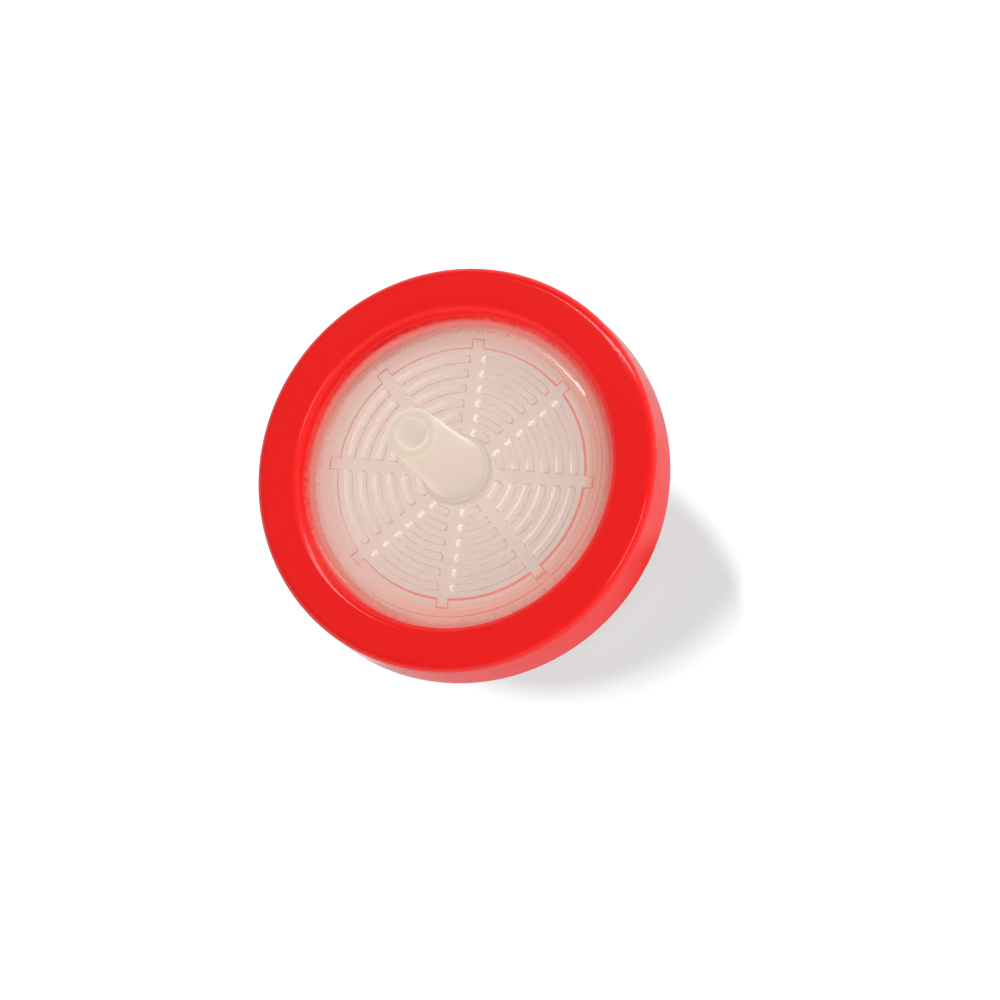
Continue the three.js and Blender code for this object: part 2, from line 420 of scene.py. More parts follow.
# %% [markdown]
# ## Translucent polypropylene
#
# The shells are natural polypropylene: clear where they are thin, rosy near the ring and milky
# where they are thick, as in the port. A scattering volume inside the shells could do all of
# this, but it renders slowly and can't be baked. So shaders for the parts of a shell are blended
# by place. The first is the plate seen from outside. It lets most light through and scatters
# the rest. Its rim is rosy, partly red stain from the ring and partly painted red light, which
# makes it rosier on the lit side than on the other. On the lit side, fine rings of painted shade
# stand for the refraction in the mould's turning marks.

# %% Skin of the plate
CLEAR = (0.93, 0.78, 0.70)
ROSY = (0.93, 0.60, 0.49)
# colour of the painted shade in the rim's fine rings on the lit side
TURNING_MARK_SHADE = (0.80, 0.43, 0.34)
RIM_GLOW = (0.13, 0.035, 0.03)
LIT_AZIMUTH = math.radians(-14)
RIM = (10.4, 11.6)           # the radii between which the window turns rosy
MARK_SHADE_RISE, MARK_SHADE_FALL = (10.8, 11.1), (12.2, 12.4)
MARK_SHADE_PER_MM = 18.0          # the marks' wave turns by this many radians in 1 mm
MARK_SHADE_SHARE = 0.6


def rim_colours(finish):
    """The tint, with painted light and shade in the rim, and the light that the ring sheds there.
    """
    radius = finish.radius
    rim = finish.step(radius, *RIM)
    lit = finish.step(finish.along(LIT_AZIMUTH), -6, 8)
    unlit_rim = 0.42 * finish.step(radius, 10.2, 10.6) + 0.2 * finish.step(radius, 11.4, 12.2)
    # rosier on the lit side: painted red light from the ring over its red stain
    rosy = finish.mix(lit * rim + (1 - lit) * unlit_rim, CLEAR, ROSY)
    # fine rings of painted shade from refraction in the turning marks, on the lit side only
    wave = 0.5 + 0.5 * finish.calc("SINE", radius * MARK_SHADE_PER_MM)
    marks = wave * finish.band(radius, MARK_SHADE_RISE, MARK_SHADE_FALL) * lit * MARK_SHADE_SHARE
    glow = finish.mix(rim * (0.5 + 0.5 * lit), (0, 0, 0), RIM_GLOW)
    return finish.mix(marks, rosy, TURNING_MARK_SHADE), glow


print("turning marks", round(TURN / MARK_SHADE_PER_MM, 2), "mm apart")

# %% [markdown]
# Under the plate the same plastic is clearer, because nothing has rubbed it. The rib walls stand
# on edge there and catch light, so they are a touch paler. The wall round the flow field mirrors
# the red ring and reads as a thin red line. A ray tracer would find such mirrored light by
# itself only after very many samples, so both walls get a little of it as their own emission.

# %% Walls under the plate
PALE_EDGE = (0.80, 0.66, 0.60)
PALE_SHARE = 0.09
RED_EDGE = (0.66, 0.02, 0.02)
SEAT_RISE = (membrane_top + 0.02, membrane_top + 0.06)
CEILING_FALL = (flow_ceiling - 0.1, flow_ceiling - 0.06)
WALL_RISE, WALL_FALL = (10.1, 10.2), (10.41, 10.46)


def underside(finish, tint):
    """The plate's lower side, with the ribs' walls and the wall round the flow field."""
    clear = finish.plastic(tint, 0.04, Transmission_Weight=0.97)
    rib_edge, red_edge = (
        finish.plastic(colour, rough, Emission_Color=(*colour, 1), Emission_Strength=0.4)
        for colour, rough in ((PALE_EDGE, 0.4), (RED_EDGE, 0.3)))
    above_seat = finish.step(finish.height, *SEAT_RISE)
    under_ceiling = 1 - finish.step(finish.height, *CEILING_FALL)
    clear = finish.blend(above_seat * under_ceiling * PALE_SHARE, clear, rib_edge)
    inner_edge = 1 - finish.step(finish.radius, *WALL_FALL)
    wall = finish.calc("MAXIMUM", above_seat, inner_edge) * under_ceiling
    wall = wall * finish.step(finish.radius, *WALL_RISE)
    lit = 0.2 + 0.6 * finish.step(finish.along(LIT_AZIMUTH), -7, 2)
    return finish.blend(wall * lit, clear, red_edge)


print("flow field from", round(membrane_top, 2), "to", round(flow_ceiling, 2), "mm")

# %% [markdown]
# The port is a thick tube that looks milky and evenly lit, because light wanders far inside it.
# Subsurface scattering gives that look, and a low emission stands for the light that comes up
# the tube from the plate. A faint cool streak up one flank stands for the soft reflection that
# such plastic holds there.

# %% Milky port
MILKY = (0.207, 0.18, 0.153)
MILKY_TIP = (0.205, 0.185, 0.14)
MILKY_GLOW = (0.45, 0.372, 0.325)
TIP_RISE = (tip_height - 0.8, tip_height - 0.3)
STREAK = (0.26, 0.255, 0.27)
STREAK_AZIMUTH = math.radians(37)
STREAK_SIDE = (0.994, 0.9992)        # cosines of the angle off the streak's middle
STREAK_RISE, STREAK_FALL = (15.2, 17.5), (24.0, 25.2)


def milky(finish):
    height, radius = finish.height, finish.radius
    side = finish.calc("DIVIDE", finish.along(STREAK_AZIMUTH), radius)
    streak = finish.step(side, *STREAK_SIDE) * finish.band(height, STREAK_RISE, STREAK_FALL)
    outside = finish.step(radius, 1.6, 1.8)
    plain = finish.mix(finish.step(height, *TIP_RISE), MILKY, MILKY_TIP)
    return finish.plastic(
        finish.mix(streak * outside, plain, STREAK), 0.25, Specular_IOR_Level=0.2,
        Subsurface_Weight=1.0, Subsurface_Radius=(1, 0.9, 0.8), Subsurface_Scale=0.004,
        Emission_Color=(*MILKY_GLOW, 1), Emission_Strength=1.0)


# %% [markdown]
# Last, these are put together from the axis outward: milky core, plate, stained rim. On top of
# the plate the milk reaches a little further out, over the port's foot. Diffuse and shadow rays
# pass straight through, because a ray tracer's clear plastic would otherwise throw a black
# shadow on the membrane, where the real one throws almost none.

# %% Translucent polypropylene
JOINT_HEIGHT = 11.6          # middle of the clear zone round the membrane
CLEAR_ZONE = (1.4, 2.2)      # squares of how far up and down that zone reaches
FOOT = 0.16                  # how much further out the milk reaches at the port's foot
FOOT_RISE = (FIELD_HEIGHT - 0.1, FIELD_HEIGHT - 0.02)


def clear_polypropylene(name, core_radius):
    """The finish of a shell that is milky within core_radius of the axis."""
    finish = PartFinish(name)
    tint, glow = rim_colours(finish)
    smooth = finish.bump(finish.noise(finish.place, scale=0.8), distance=0.002)
    skin = finish.plastic(tint, 0.05, Transmission_Weight=0.78, Normal=smooth,
                          Emission_Color=glow, Emission_Strength=1.0)
    from_joint = finish.height - JOINT_HEIGHT
    outside = finish.step(from_joint * from_joint, *CLEAR_ZONE)
    body = finish.blend(outside, underside(finish, tint), skin)
    foot = FOOT * finish.step(finish.height, *FOOT_RISE)
    core = 1 - finish.step(finish.radius - foot, core_radius, core_radius + 0.1)
    body = finish.blend(core, body, milky(finish))
    past = past_red_edge(finish)
    stained = finish.plastic(blush_to_red(finish, past), 0.3, Emission_Color=glow,
                             Emission_Strength=0.7)
    body = finish.blend(finish.step(past, -0.9, -0.2), body, stained)
    open_to_light = finish.node("ShaderNodeBsdfTransparent", {}, {"Color": (1, 1, 1, 1)})
    for ray in ("Is Diffuse Ray", "Is Shadow Ray"):
        body = finish.blend(finish.light_path(ray), body, open_to_light)
    return finish.shows(body)


clear_outlet = clear_polypropylene("clear_outlet", core_radius=2.72)
clear_inlet = clear_polypropylene("clear_inlet", core_radius=4.1)
for material in (clear_outlet, clear_inlet):
    print(material.name, "has", len(material.node_tree.nodes), "nodes")

# %% [markdown]
# ## White membrane
#
# The membrane is a thin matt sheet, and most of what shows on it is light that the ribs over it
# gather and cast. Such caustics take a ray tracer very long, so they are painted where they
# fall, from the same sizes as the ribs. `rib_distances` finds where on its rib each point lies:
# it folds the disc into one sector and then into one row.

# %% Where on its rib a point lies
def rib_distances(finish):
    """Distances from a rib's long sides and from its two ends, and the sector's first angle."""
    axes = [finish.node("ShaderNodeSeparateXYZ", {}, {0: finish.place}, axis) for axis in "YX"]
    azimuth = finish.calc("ARCTAN2", *axes)
    sector = finish.calc("FLOOR", azimuth * (1 / SECTOR)) * SECTOR
    turned_by = azimuth - sector
    row = (finish.radius - WELL_RADIUS) * (1 / RIB_PITCH)
    from_inside = finish.calc("FRACT", row) * RIB_PITCH
    from_start, from_end = (
        finish.radius * finish.calc("SINE", angle) - CHANNEL_WIDTH / 2
        for angle in (turned_by, SECTOR - turned_by)
    )
    return from_inside, RIB_WIDTH - from_inside, from_start, from_end, sector


# %% [markdown]
# A point is on a rib where all its distances are positive, so a rib's mask is a product of
# steps. The outline is what is left when a slightly smaller rib is taken from it, and it is
# painted a little darker, as shade along the rib's edge where it presses on the sheet. The
# membrane's underside has no ribs, so the masks are kept to its upper face.

# %% Masks of a rib and of its outline
UPPER_FACE = (membrane_top - 0.1, membrane_top - 0.05)
LAST_ROW_END = WELL_RADIUS + (RIB_ROWS - 0.1) * RIB_PITCH
RIB_RISE = (0.0, 0.05)
CORE_RISE = (0.07, 0.12)


def rib_masks(finish, distances):
    rib = core = finish.step(finish.height, *UPPER_FACE)
    for distance in (*distances, LAST_ROW_END - finish.radius, finish.radius - WELL_RADIUS):
        rib = rib * finish.step(distance, *RIB_RISE)
        core = core * finish.step(distance, *CORE_RISE)
    return rib, rib - core


print("the outer row of ribs ends inside", round(LAST_ROW_END, 2), "mm")

# %% [markdown]
# Light comes in low from one side. A rib's end that looks away from it gets a bright bracket,
# and the other end a rosy shade.

# %% Light and shade at a rib's ends
LIGHT_AZIMUTH = math.radians(163)    # the way that the low light runs through the ribs
BRACKET_FALL = (0.10, 0.14)          # thickness of a bracket
MARK_FALL = (0.26, 0.30)             # how far along its rib a mark reaches
FACING_RISE = (0.25, 0.9)            # cosines of how squarely an end faces the light
FILL = 0.15                          # light within a bracket


def end_marks(finish, to_side, from_start, from_end, sector):
    """Light and shade at the ends of a rib whose nearer long side is to_side away."""
    light = shade = 0.0
    for distance, facing in ((from_start, sector - (math.pi / 2 + LIGHT_AZIMUTH)),
                             (from_end, sector + (SECTOR + math.pi / 2 - LIGHT_AZIMUTH))):
        to_edge = finish.calc("MINIMUM", to_side, distance)
        bracket = 1 - finish.step(to_edge, *BRACKET_FALL)
        near = 1 - finish.step(distance, *MARK_FALL)
        lit = finish.step(finish.calc("COSINE", facing), *FACING_RISE)
        light = finish.calc("MAXIMUM", light, near * (FILL + (1 - FILL) * bracket) * lit)
        shade = finish.calc("MAXIMUM", shade, near * bracket * (1 - lit))
    return light, shade


# %% [markdown]
# A rib that lies across the light gets a bright line along the side where the light leaves it:
# narrow on the lamp's side of the disc, and broad and faint beyond the middle.

# %% Light along a rib
LINE_FALL, LINE_FACING, LINE_SHARE = (0.06, 0.12), (0.82, 0.90), 0.9
BROAD_FALL, BROAD_FACING, BROAD_SHARE = (0.12, 0.28), (0.4, 0.9), 0.3


def side_lines(finish, from_inside, from_outside):
    outward = finish.along(LIGHT_AZIMUTH) * finish.calc("DIVIDE", 1.0, finish.radius)
    line = 1 - finish.step(from_inside, *LINE_FALL)
    line = line * finish.step(0 - outward, *LINE_FACING)
    broad = 1 - finish.step(from_outside, *BROAD_FALL)
    broad = broad * finish.step(outward, *BROAD_FACING)
    return finish.calc("MAXIMUM", LINE_SHARE * line, BROAD_SHARE * broad)


# %% [markdown]
# The sheet itself is a rough, nearly white Principled shader with a fine grain. A little emission
# makes the bright marks read as light rather than as white paint.

# %% White membrane
MEMBRANE = (0.74, 0.69, 0.67)
LIT = (1.0, 1.0, 0.94)
OUTLINE_SHADE = (0.725, 0.673, 0.651)
SHADED_END = (0.56, 0.40, 0.385)
SHADE_SHARE = 0.45


def white_membrane():
    finish = PartFinish("white_membrane")
    *distances, sector = rib_distances(finish)
    from_inside, from_outside, from_start, from_end = distances
    rib, outline = rib_masks(finish, distances)
    to_side = finish.calc("MINIMUM", from_inside, from_outside)
    light, shade = end_marks(finish, to_side, from_start, from_end, sector)
    lines = side_lines(finish, from_inside, from_outside)
    light = rib * finish.calc("MAXIMUM", light, lines)
    # painted shade along each rib's outline
    colour = finish.mix(outline, MEMBRANE, OUTLINE_SHADE)
    colour = finish.mix(rib * shade * SHADE_SHARE, colour, SHADED_END)
    paper = finish.bump(finish.noise(finish.place, scale=14.0, detail=4.0), distance=0.01)
    return finish.shows(finish.plastic(
        finish.mix(light, colour, LIT), 0.9, Normal=paper,
        Emission_Color=finish.mix(light, (0, 0, 0), LIT), Emission_Strength=0.28))


white = white_membrane()
print(white.name, "has", len(white.node_tree.nodes), "nodes")

# %% [markdown]
# ## Dressing a piece
#
# Each new mesh takes the place of one node of the imported model, which is hidden. It gets its
# finish and a Weighted Normal modifier, which keeps large flat faces looking flat beside small
# roundings. Nothing on this filter moves, so every piece rides on the root.

# %% Dress a piece
def dress(piece, material, node):
    piece.data.materials.clear()
    piece.data.materials.append(material)
    weighted = piece.modifiers.new("flat faces stay flat", "WEIGHTED_NORMAL")
    weighted.keep_sharp = True
    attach(piece, "root")
    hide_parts(node)
    print(piece.name, "has", len(piece.data.polygons), "faces")


# %% [markdown]
# ## The ring
#
# The red ring is moulded over the stacked shells and clamps their rims, so the filter needs no
# screws and no glue. A cylinder with a hole and a Bevel modifier could stand for it, but its back
# edge is rounder than its front, and its inside is stepped round the rims. One turned section
# gives all of that at once. It bites a hair's breadth into the shells, as fused plastics do.

# %% Overmoulded ring
BOND = 0.02                  # the ring reaches this far into the shells it is fused to
INLET_BACK = 10.0            # height of the lower shell's back
FLANGE_HEIGHT = 13.2         # height of the upper shell's rim
SHOULDER_RADIUS = 12.45
LIP_FOOT_RADIUS = 12.9
LIP_RADIUS = 13.05
RING_FRONT_RADIUS = 16.53

ring = turned("ring", rounded([
    (LIP_RADIUS, ring_bottom, 0.3),
    (ring_radius, ring_bottom, 1.2),
    (RING_FRONT_RADIUS, ring_top, 0.75),
    (LIP_RADIUS, ring_top, 0.75),
    (LIP_FOOT_RADIUS, SHOULDER_HEIGHT - BOND, 0.4),
    (SHOULDER_RADIUS - BOND, SHOULDER_HEIGHT - BOND, 0),
    (SHOULDER_RADIUS - BOND, FLANGE_HEIGHT - BOND, 0),
    (shell_radius - BOND, FLANGE_HEIGHT - BOND, 0),
    (shell_radius - BOND, INLET_BACK + BOND, 0),
    (LIP_FOOT_RADIUS, INLET_BACK + BOND, 0),
]))
dress(ring, red, "overmould_ring")

# %% [markdown]
# ## Outlines of the flow field
#
# Seen from above, a rib is a short curved bar with rounded corners. Forty-eight of them could be
# placed by hand or with Array modifiers, but their lengths change with the row. A function of the
# row gives every rib from one rule. It also takes how far the edge is pushed out, which the
# draft and the fillets below need.

# %% Arcs and turns in the plane
AXIS = Vector((0, 0))


def arc(centre, radius, start, end, steps):
    """Points along an arc in the plane, both ends included."""
    angles = [start + (end - start) * k / steps for k in range(steps + 1)]
    return [centre + Vector((math.cos(a), math.sin(a))) * radius for a in angles]


def axis_arc(radius, start, end):
    """An arc about the axis, as finely divided as the turned pieces are."""
    steps = max(1, round(abs(end - start) / TURN * TURN_STEPS))
    return arc(AXIS, radius, start, end, steps)


def polar(radius, angle):
    return Vector((math.cos(angle), math.sin(angle))) * radius


def spun(outline, i, count=CHANNELS):
    """An outline in place i of count places around the axis."""
    turn = Matrix.Rotation(TURN * i / count, 2)
    return [turn @ p for p in outline]


# %% [markdown]
# A rib's ends run along the straight channels while its sides follow circles. One half of the
# outline is worked out, and the other is its mirror image about the sector's middle.

# %% Outline of a rib
CORNER_STEPS = 4


def rib_outline(row, grown):
    """A rib between the channels at angle 0 and at one sector, its edge pushed out by grown."""
    inner = WELL_RADIUS + row * RIB_PITCH
    outer = inner + RIB_WIDTH
    inset = CHANNEL_WIDTH / 2 + RIB_CORNER
    inner_angle = math.asin(inset / (inner + RIB_CORNER))
    outer_angle = math.asin(inset / (outer - RIB_CORNER))
    corner = RIB_CORNER + grown
    near = arc(polar(inner + RIB_CORNER, inner_angle), corner,
               inner_angle - math.pi, -math.pi / 2, CORNER_STEPS)
    far = arc(polar(outer - RIB_CORNER, outer_angle), corner,
              -math.pi / 2, outer_angle, CORNER_STEPS)
    side = near + far
    axis = polar(1, SECTOR / 2)
    other_side = [2 * p.dot(axis) * axis - p for p in reversed(side)]
    outside = axis_arc(outer + grown, outer_angle, SECTOR - outer_angle)[1:-1]
    inside = axis_arc(inner - grown, SECTOR - inner_angle, inner_angle)[1:-1]
    return side + outside + other_side + inside


for row in (0, RIB_ROWS - 1):
    print("a rib of row", row, "has", len(rib_outline(row, 0)), "points")

# %% [markdown]
# The channels run on a little past the ribs, into notches in the wall round the flow field.

# %% Outline of the wall
NOTCH_RADIUS = 11.1
NOTCH_STEPS = 4
NOTCH_SLANT = 1.6            # the notch's end leans in this much faster than the walls' fillets


def field_outline(shrunk):
    """The wall around the flow field, with a notch at the end of each channel."""
    half = CHANNEL_WIDTH / 2 - shrunk
    radius = FLOW_RADIUS - shrunk
    notch = NOTCH_RADIUS - shrunk * NOTCH_SLANT
    wall_angle, notch_angle = math.asin(half / radius), math.asin(half / notch)
    piece = arc(AXIS, notch, -notch_angle, notch_angle, NOTCH_STEPS)
    piece += arc(AXIS, radius, wall_angle, SECTOR - wall_angle, TURN_STEPS // CHANNELS)
    return [p for i in range(CHANNELS) for p in spun(piece, i)]


print("the wall has", len(field_outline(0)), "points")

# %% [markdown]
# ## Solids from stacked outlines
#
# Extruding an outline would give walls as straight as a knife cut. A moulded wall has a small
# round at its free edge, leans back so that the part slides off the steel, and ends in a fillet.
# So the outline is asked for at several depths, each time pushed out a little further, and faces
# join one outline to the next.

# %% Solids from stacked outlines
def stacked(name, columns):
    """Solids that rise through outlines. A column is a list of (height, outline), lowest first."""
    points = []
    faces = []
    for column in columns:
        count = len(column[0][1])
        first = len(points)
        for height, outline in column:
            points += [(p.x, p.y, height) for p in outline]
        for low in range(first, len(points) - count, count):
            for i in range(count):
                k = (i + 1) % count
                faces.append((low + i, low + k, low + count + k, low + count + i))
        faces.append(range(first + count - 1, first - 1, -1))
        faces.append(range(len(points) - count, len(points)))
    return new_piece(name, points, faces)


# %% [markdown]
# The lean at each depth is one short list for every wall on the filter: the round of the free
# edge, the straight part with its draft, and a quarter circle for the fillet.

# %% Walls with draft and fillets
DRAFT = 0.03                 # how far a wall leans back over the depth
EDGE_ROUND = 0.03            # round of the free edges
CEILING_FILLET = 0.03
FILLET_STEPS = 5


def walls(depth):
    """How far a wall has leaned in at each depth: a round edge, some draft and a fillet."""
    steps = [(0, -EDGE_ROUND), (EDGE_ROUND, 0), (depth - CEILING_FILLET, DRAFT)]
    for k in range(1, FILLET_STEPS + 1):
        angle = math.pi / 2 * k / FILLET_STEPS
        into = depth - CEILING_FILLET * (1 - math.sin(angle))
        steps.append((into, DRAFT + CEILING_FILLET * (1 - math.cos(angle))))
    return steps


print("a wall has", len(walls(FLOW_DEPTH)), "steps from its edge to its fillet's end")

# %% [markdown]
# ## Pockets
#
# A pocket with ribs in it is easiest to think of as the liquid that would fill it. That space is
# a solid disc with the ribs taken out, and the shell is what is left when the space is taken out
# of it. Ribs could be added under a flat plate instead, but then each has to be fused to it. Both
# cuts are Booleans. The Manifold solver is quick and leaves clean meshes, but it needs closed
# solids that don't merely touch, so every tool starts well outside the face it cuts.

# %% Cut or join
def joined_by(piece, tool, operation):
    """Cuts or joins a tool into a piece and removes the tool."""
    boolean = piece.modifiers.new(operation, "BOOLEAN")
    boolean.operation = operation
    boolean.solver = "MANIFOLD"
    boolean.object = tool
    graph = bpy.context.evaluated_depsgraph_get()
    mesh = bpy.data.meshes.new_from_object(piece.evaluated_get(graph))
    piece.modifiers.remove(boolean)
    piece.data = mesh
    bpy.data.objects.remove(tool)
    tidy_mesh(mesh)


# %% [markdown]
# Depths count from the plate's face into the plate, up for the outlet and down for the inlet.
# An outline is a function of how far its wall has leaned in, so one list of leans serves all.

# %% The space of a pocket
CUT_DEPTH = 0.4              # a cutter starts this far outside the plate


def pocket(name, face, depth, up, wall_outline, island_outlines):
    """The empty space of a moulded pocket in a flat face, with islands left standing in it."""
    way = 1 if up else -1
    edge, floor = walls(depth)[0], walls(depth)[-1]
    wall = [(-CUT_DEPTH, edge[1]), *walls(depth)]
    island = [(-2 * CUT_DEPTH, edge[1]), *walls(depth), (depth + CUT_DEPTH, floor[1])]
    space = stacked(name, [[(face + way * into, wall_outline(lean)) for into, lean in wall][::way]])
    islands = stacked("islands", [
        [(face + way * into, outline(lean)) for into, lean in island][::way]
        for outline in island_outlines])
    joined_by(space, islands, "DIFFERENCE")
    return space


# %% [markdown]
# ## Outlet shell
#
# The upper shell is the window that everything is seen through. Its plate is stepped down under
# the ring's lip and carries the slim tapered port, which a needle or a tube pushes onto. Turning
# gives the plate, port and bore in one closed section, and the flow field is cut from below. A
# fine groove runs round the flow field, where the shell presses on the membrane.

# %% Outlet shell, turned
FIELD_RADIUS = 11.75
SEAT_RADIUS = 12.65          # the membrane lies inside this step
GROOVE_RADIUS = 10.8
GROOVE_HALF = 0.08
GROOVE_DEPTH = 0.03
OUTLET_BORE = 0.9
TIP_BORE = 1.2
TIP_RADIUS = 2.03

outlet = turned("outlet", rounded([
    (OUTLET_BORE, membrane_top, 0.15),
    (GROOVE_RADIUS - GROOVE_HALF, membrane_top, 0),
    (GROOVE_RADIUS, membrane_top + GROOVE_DEPTH, 0),
    (GROOVE_RADIUS + GROOVE_HALF, membrane_top, 0),
    (SEAT_RADIUS, membrane_top, 0),
    (SEAT_RADIUS, membrane_bottom, 0),
    (shell_radius, membrane_bottom, 0.1),
    (shell_radius, FLANGE_HEIGHT, 0),
    (SHOULDER_RADIUS, FLANGE_HEIGHT, 0),
    (SHOULDER_RADIUS, SHOULDER_HEIGHT, 0),
    (FIELD_RADIUS + 0.22, SHOULDER_HEIGHT, 0),
    (FIELD_RADIUS + 0.2, SHOULDER_HEIGHT + 0.08, 0),
    (FIELD_RADIUS - 0.06, FIELD_HEIGHT, 0.6),
    (2.78, FIELD_HEIGHT, 0.05),
    (2.70, FIELD_HEIGHT + 0.5, 0.3),
    (2.5, 14.7, 0.7),
    (2.28, 18.0, 3.0),
    (TIP_RADIUS, tip_height, 0.25),
    (TIP_BORE, tip_height, 0.15),
]))
print("the port rises", round(tip_height - FIELD_HEIGHT, 2), "mm above the plate")

# %% [markdown]
# One function for each rib of each sector gives its outline. `row=row` and `i=i` hold on to the
# values of this turn of the loop, because a Python lambda would otherwise use the last ones.

# %% Outlet shell, with its flow field
ribs = [lambda lean, row=row, i=i: spun(rib_outline(row, lean), i)
        for row in range(RIB_ROWS) for i in range(CHANNELS)]
space = pocket("flow_space", membrane_top, FLOW_DEPTH, True, field_outline, ribs)
joined_by(outlet, space, "DIFFERENCE")
dress(outlet, clear_outlet, "outlet_shell")

# %% [markdown]
# ## Membrane
#
# The membrane does the filtering: a thin white sheet, clamped at its rim between the shells. A
# cylinder would do, but a turned section keeps its edge softly cut. It stops a little short of
# the shells on both faces, because two surfaces in exactly the same place flicker in a render.

# %% Membrane disc
GAP = 0.02
PINHOLE = 0.0001             # a section may not touch the axis, or faces there have no area
membrane = turned("membrane", rounded([
    (PINHOLE, membrane_bottom + GAP, 0),
    (membrane_radius, membrane_bottom + GAP, 0.04),
    (membrane_radius, membrane_top - GAP, 0.04),
    (PINHOLE, membrane_top - GAP, 0),
]))
dress(membrane, white, "membrane_disc")

# %% [markdown]
# ## Inlet shell
#
# The lower shell takes the syringe. Its hub has a tapered socket, which the syringe's tip wedges
# into, and two lugs outside, which the syringe's collar screws onto. Inside, eight spokes hold
# the membrane off the plate so that the liquid can spread. It is made as the outlet shell is:
# turned, then cut by a pocket, and last the lugs are joined on.

# %% Inlet shell, turned
SOCKET_RADIUS = 2.15
SOCKET_DEPTH = 8.5
SOCKET_TAPER = 0.03          # how much narrower the socket gets over each mm
HUB_RADIUS = 3.3
HUB_FOOT_RADIUS = 3.7
INLET_BORE = 1.1

inlet = turned("inlet", rounded([
    (SOCKET_RADIUS, hub_end, 0.15),
    (HUB_RADIUS, hub_end, 0.15),
    (HUB_FOOT_RADIUS, INLET_BACK, 1.0),
    (shell_radius, INLET_BACK, 0.1),
    (shell_radius, rim_joint - GAP, 0.1),
    (INLET_BORE, rim_joint - GAP, 0.15),
    (INLET_BORE, hub_end + SOCKET_DEPTH, 0.1),
    (SOCKET_RADIUS - SOCKET_TAPER * SOCKET_DEPTH, hub_end + SOCKET_DEPTH, 0.05),
]))
print("the hub reaches", round(INLET_BACK - hub_end, 2), "mm below the plate")

# %% [markdown]
# A spoke is a straight bar with round ends. The pocket round the spokes is a plain disc.

# %% Spokes under the membrane
SPOKE_WIDTH = 0.8
SPOKE_START = 3.6
SPOKE_END = FLOW_RADIUS - 0.6


def spoke_outline(grown):
    half = SPOKE_WIDTH / 2 + grown
    end = Vector((SPOKE_END - SPOKE_WIDTH / 2, 0))
    start = Vector((SPOKE_START + SPOKE_WIDTH / 2, 0))
    return (arc(end, half, -math.pi / 2, math.pi / 2, 2 * CORNER_STEPS)
            + arc(start, half, math.pi / 2, 1.5 * math.pi, 2 * CORNER_STEPS))


def round_wall(shrunk):
    return axis_arc(FLOW_RADIUS - shrunk, 0, TURN)[:-1]


spokes = [lambda lean, i=i: spun(spoke_outline(lean), i) for i in range(CHANNELS)]
space = pocket("inlet_space", rim_joint - GAP, FLOW_DEPTH, False, round_wall, spokes)
joined_by(inlet, space, "DIFFERENCE")
print(len(spokes), "spokes,", round(SPOKE_END - SPOKE_START, 2), "mm long")

# %% [markdown]
# The lugs are two short ears at the open end of the hub. Each is rooted inside the hub's wall, so
# that the join is one solid and not two that touch.

# %% Lugs for the syringe's collar
LUGS = 2
LUG_RADIUS = 3.9
LUG_HEIGHT = 1.3
LUG_SPAN = TURN / 7
LUG_ROOT = 0.4               # how far a lug reaches into the hub


def lug_outline():
    outside = axis_arc(LUG_RADIUS, -LUG_SPAN / 2, LUG_SPAN / 2)
    inside = axis_arc(HUB_RADIUS - LUG_ROOT, LUG_SPAN / 2, -LUG_SPAN / 2)
    return outside + inside


lugs = [[(height, spun(lug_outline(), i, LUGS)) for height in (hub_end, hub_end + LUG_HEIGHT)]
        for i in range(LUGS)]
joined_by(inlet, stacked("lugs", lugs), "UNION")
dress(inlet, clear_inlet, "inlet_shell")

# %% [markdown]
# ## Floor
#
# The filter stands on its hub on a plain pale floor. A brighter lamp would make the floor whiter
# but would wash out the part too. So the floor has two looks, told apart by Light Path: the
# camera sees it brightened by some emission of its own, and every other ray meets a plain grey,
# which sends only a natural amount of light back up onto the part.

# %% Floor
FLOOR_HALF = 3000.0
FLOOR_WHITE = (0.52, 0.52, 0.52, 1)
FLOOR_SHOWN = (0.40, 0.45, 0.45, 1)
FLOOR_GLOW = 0.564


def pale_floor():
    finish = Finish(bpy.data.materials.new("pale_floor"))
    plain = finish.node("ShaderNodeBsdfDiffuse", {}, {"Color": FLOOR_WHITE})
    shaded = finish.node("ShaderNodeBsdfDiffuse", {}, {"Color": FLOOR_SHOWN})
    glow = finish.node("ShaderNodeEmission", {}, {"Strength": FLOOR_GLOW})
    shown = finish.node("ShaderNodeAddShader", {}, {0: shaded, 1: glow})
    return finish.shows(finish.blend(finish.light_path("Is Camera Ray"), plain, shown))


corners = [(x * FLOOR_HALF, y * FLOOR_HALF, 0) for x, y in ((-1, -1), (1, -1), (1, 1), (-1, 1))]
floor = new_piece("floor", corners, [(0, 1, 2, 3)])
floor.data.materials.append(pale_floor())
print("floor", 2 * FLOOR_HALF * MM, "m wide")

# %% [markdown]
# ## Light
#
# A studio wraps the part in soft light. The world gives most of it, bright at the horizon and
# dimmer overhead, so that curved edges catch more light than the flat top. An image of a real
# studio could do this too, but a plain gradient is lighter and can be reasoned about.

# %% World
SKY = (0.27, 0.27, 0.27)
HORIZON = (0.95, 0.95, 0.95)
SKY_RISE = (0.1, 0.5)        # upward parts of the view between which horizon turns to sky


